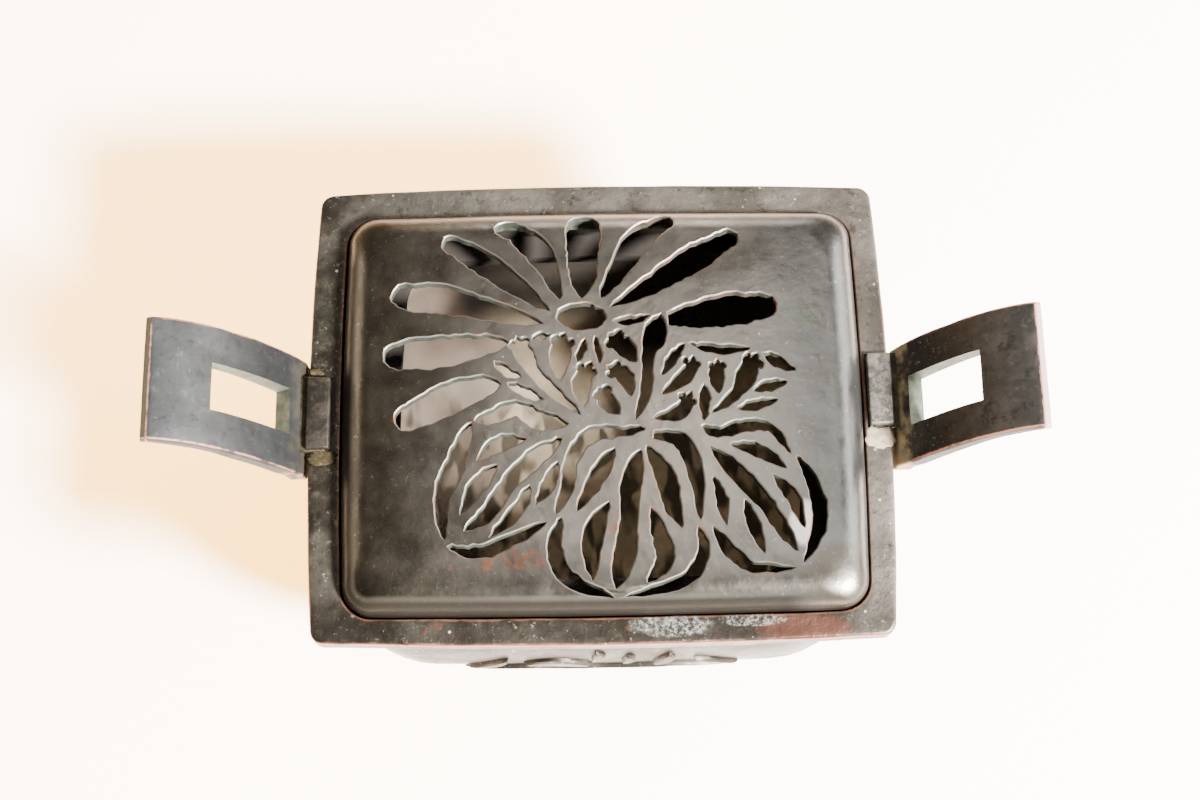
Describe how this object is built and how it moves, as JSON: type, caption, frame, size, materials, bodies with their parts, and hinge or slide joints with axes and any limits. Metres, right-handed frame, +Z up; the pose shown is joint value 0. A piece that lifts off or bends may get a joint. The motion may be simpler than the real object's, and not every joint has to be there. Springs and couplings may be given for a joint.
{
  "type": "bronze incense burner",
  "caption": "Rectangular bronze incense burner on short legs, with a domed openwork lid of flowers and leaves and flaring plate handles.",
  "frame": {"origin": "middle of the underside at the soles of the feet", "axes": "+X runs along the length through both handles, -Y is the front, +Z is up"},
  "size_m": [0.2189, 0.124, 0.1257],
  "materials": {
    "body_bronze": "dark brown patina, dusty and worn to copper on the rim's edges",
    "lid_bronze": "smooth satin brown-grey patina with fine scratches",
    "handle_bronze": "dark patina with copper-red worn edges"
  },
  "bodies": {
    "root": {"body": "body_bronze", "lid": "lid_bronze", "handle_left": "handle_bronze", "handle_right": "handle_bronze"}
  },
  "joints": []
}
